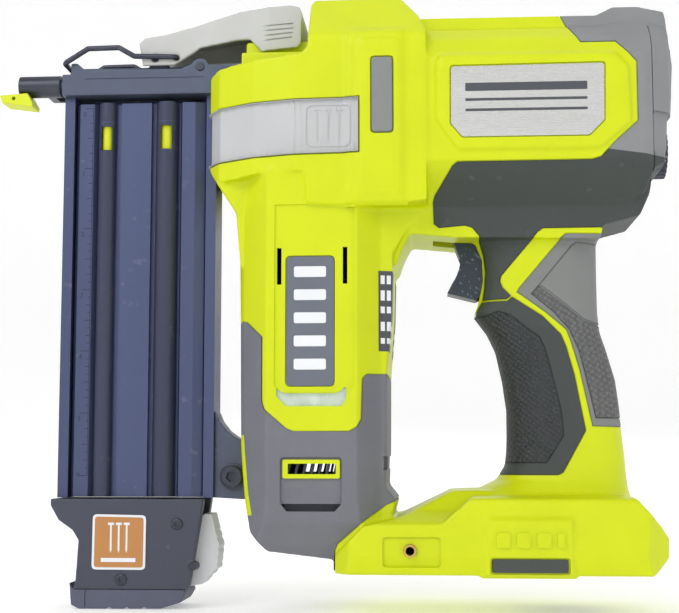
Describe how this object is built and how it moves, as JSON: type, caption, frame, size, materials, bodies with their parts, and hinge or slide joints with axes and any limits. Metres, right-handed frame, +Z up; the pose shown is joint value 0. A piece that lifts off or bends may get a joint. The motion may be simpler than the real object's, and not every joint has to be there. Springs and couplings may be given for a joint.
{
  "type": "brad nailer",
  "caption": "Cordless brad nailer with a D-handle, vertical motor housing, sliding vertical nail magazine, jam-clearing nose door with a toggle lever, and a battery socket in its foot.",
  "frame": {"origin": "middle of the battery socket's mouth, in the plane of the foot's underside", "axes": "+Z up through the handle, -X the way the nose fires, -Y the tool's left side"},
  "size_m": [0.2782, 0.0804, 0.2446],
  "materials": {
    "badge_orange": "printed",
    "black_nylon": "moulded",
    "blade_steel": "ground",
    "board_green": "lacquered",
    "brass": "turned",
    "cast_alloy": "anodised dark",
    "copper_rotor": "lacquered",
    "cylinder_alloy": "machined",
    "dark_plate": "printed satin label",
    "fastener_steel": "blackened",
    "gear_steel": "ground",
    "grey_rubber": "soft overmould, fine leather texture",
    "latch_grey": "moulded satin",
    "lever_grey": "moulded satin",
    "light_grey_plastic": "moulded satin",
    "lime_plastic": "moulded, fine matte texture",
    "magazine_alloy": "anodised dark blue-grey",
    "motor_steel": "bare",
    "pad_grey": "matte",
    "pad_lime": "soft",
    "pusher_yellow": "moulded",
    "seal_rubber": "smooth",
    "silver_badge": "brushed foil",
    "spring_steel": "bare wire",
    "trigger_plastic": "speckled"
  },
  "bodies": {
    "root": {"air_chamber": "cylinder_alloy", "air_manifold": "cast_alloy", "battery_receptacle": "black_nylon", "battery_terminals": "brass", "bracket_bolt": "fastener_steel", "bracket_nut": "fastener_steel", "bumper_bars": "pad_grey", "control_board": "board_green", "door_pin": "fastener_steel", "drive_cylinder": "cylinder_alloy", "front_collars": "light_grey_plastic", "gearbox_case": "cast_alloy", "gearbox_cover": "cast_alloy", "hook_inserts": "brass", "housing_screws": "fastener_steel", "left_housing": "lime_plastic", "left_overmould": "grey_rubber", "magazine_bracket": "cast_alloy", "magazine_rail": "magazine_alloy", "motor_can": "motor_steel", "motor_plates": "dark_plate", "nose_casting": "magazine_alloy", "piston_bumper": "seal_rubber", "right_housing": "lime_plastic", "right_overmould": "grey_rubber", "side_badges": "silver_badge", "trigger_pin": "fastener_steel", "trigger_spring": "spring_steel", "trigger_switch": "black_nylon"},
    "rotor": {"rotor": "copper_rotor", "cooling_fan": "black_nylon", "sun_gear": "gear_steel"},
    "planet_carrier": {"planet_carrier": "gear_steel"},
    "planet_1": {"planet_gear_1": "gear_steel"},
    "planet_2": {"planet_gear_2": "gear_steel"},
    "planet_3": {"planet_gear_3": "gear_steel"},
    "lifter": {"lifter_wheel": "gear_steel"},
    "driver": {"drive_piston": "cylinder_alloy", "piston_seal": "seal_rubber", "driver_blade": "blade_steel"},
    "trigger": {"trigger": "trigger_plastic"},
    "contact_foot": {"contact_foot": "blade_steel"},
    "no_mar_pad": {"no_mar_pad": "pad_lime"},
    "depth_wheel": {"depth_wheel": "black_nylon"},
    "pressure_dial": {"pressure_dial": "black_nylon"},
    "nose_door": {"nose_door": "magazine_alloy"},
    "latch_lever": {"latch_lever": "lever_grey", "lever_pin": "fastener_steel"},
    "latch_bail": {"latch_bail": "spring_steel"},
    "magazine_cover": {"magazine_cover": "magazine_alloy", "magazine_end_cap": "black_nylon", "end_shoe": "seal_rubber", "end_badge": "badge_orange", "end_cap_screws": "fastener_steel", "latch_pin": "fastener_steel", "pusher_springs": "spring_steel"},
    "magazine_latch": {"magazine_latch": "latch_grey"},
    "pusher": {"pusher": "pusher_yellow"}
  },
  "joints": [
    {"name": "motor_spin", "type": "hinge", "parent": "root", "child": "rotor", "pos_m": [-0.0975, 0, 0.11], "axis": [0, 0, 1], "range_deg": [0, 1868]},
    {"name": "carrier_spin", "type": "hinge", "parent": "root", "child": "planet_carrier", "pos_m": [-0.0975, 0, 0.11], "axis": [0, 0, 1], "range_deg": [0, 374]},
    {"name": "planet_1_spin", "type": "hinge", "parent": "planet_carrier", "child": "planet_1", "pos_m": [-0.0855, 0, 0.1625], "axis": [0, 0, 1], "range_deg": [-997, 0]},
    {"name": "planet_2_spin", "type": "hinge", "parent": "planet_carrier", "child": "planet_2", "pos_m": [-0.1035, 0.01039, 0.1625], "axis": [0, 0, 1], "range_deg": [-997, 0]},
    {"name": "planet_3_spin", "type": "hinge", "parent": "planet_carrier", "child": "planet_3", "pos_m": [-0.1035, -0.01039, 0.1625], "axis": [0, 0, 1], "range_deg": [-997, 0]},
    {"name": "lifter_spin", "type": "hinge", "parent": "root", "child": "lifter", "pos_m": [-0.07676, 0.0165, 0.18], "axis": [0, 0, 1], "range_deg": [-287, 0]},
    {"name": "driver_slide", "type": "slide", "parent": "root", "child": "driver", "axis": [-1, 0, 0], "range_m": [0, 0.0702]},
    {"name": "trigger_pull", "type": "hinge", "parent": "root", "child": "trigger", "pos_m": [-0.036, 0, 0.133], "axis": [0, -1, 0], "range_deg": [0, 10], "stiffness_Nm_per_rad": 0.04, "springref_deg": -14.32, "deforming": ["trigger_spring"]},
    {"name": "contact_press", "type": "slide", "parent": "root", "child": "contact_foot", "axis": [1, 0, 0], "range_m": [0, 0.0065], "stiffness_N_per_m": 300, "springref_m": -0.008},
    {"name": "pad_pull_off", "type": "slide", "parent": "contact_foot", "child": "no_mar_pad", "axis": [-1, 0, 0], "range_m": [0, 0.02]},
    {"name": "depth_wheel_turn", "type": "hinge", "parent": "root", "child": "depth_wheel", "pos_m": [-0.137, 0.0144, 0.2025], "axis": [1, 0, 0], "range_deg": [-180, 180]},
    {"name": "pressure_dial_turn", "type": "hinge", "parent": "root", "child": "pressure_dial", "pos_m": [0.0408, 0, 0.1685], "axis": [1, 0, 0], "range_deg": [-90, 90]},
    {"name": "lever_swing", "type": "hinge", "parent": "nose_door", "child": "latch_lever", "pos_m": [-0.1665, 0, 0.209], "axis": [0, -1, 0], "range_deg": [0, 100]},
    {"name": "door_swing", "type": "hinge", "parent": "root", "child": "nose_door", "pos_m": [-0.1477, 0, 0.2052], "axis": [0, 1, 0], "range_deg": [0, 45]},
    {"name": "bail_swing", "type": "hinge", "parent": "latch_lever", "child": "latch_bail", "pos_m": [-0.1575, 0, 0.209], "axis": [0, -1, 0], "range_deg": [-75, 0]},
    {"name": "magazine_open", "type": "slide", "parent": "root", "child": "magazine_cover", "axis": [0, 0, -1], "range_m": [0, 0.13]},
    {"name": "magazine_latch_swing", "type": "hinge", "parent": "magazine_cover", "child": "magazine_latch", "pos_m": [-0.1485, 0, 0.001], "axis": [0, 1, 0], "range_deg": [0, 12], "stiffness_Nm_per_rad": 0.08, "springref_deg": -20.05},
    {"name": "pusher_slide", "type": "slide", "parent": "magazine_cover", "child": "pusher", "axis": [0, 0, -1], "range_m": [0, 0.11], "stiffness_N_per_m": 30, "springref_m": -0.1, "deforming": ["pusher_springs"]}
  ],
  "couplings": [
    {"joint": "carrier_spin", "follows": "motor_spin", "ratio": 0.2},
    {"joint": "planet_1_spin", "follows": "motor_spin", "ratio": -0.53333},
    {"joint": "planet_2_spin", "follows": "motor_spin", "ratio": -0.53333},
    {"joint": "planet_3_spin", "follows": "motor_spin", "ratio": -0.53333},
    {"joint": "lifter_spin", "follows": "motor_spin", "ratio": -0.15333},
    {"joint": "driver_slide", "follows": "motor_spin", "m_per_rad": 0.0021467},
    {"joint": "door_swing", "follows": "lever_swing", "ratio": 0.45},
    {"joint": "bail_swing", "follows": "lever_swing", "ratio": -0.75}
  ]
}
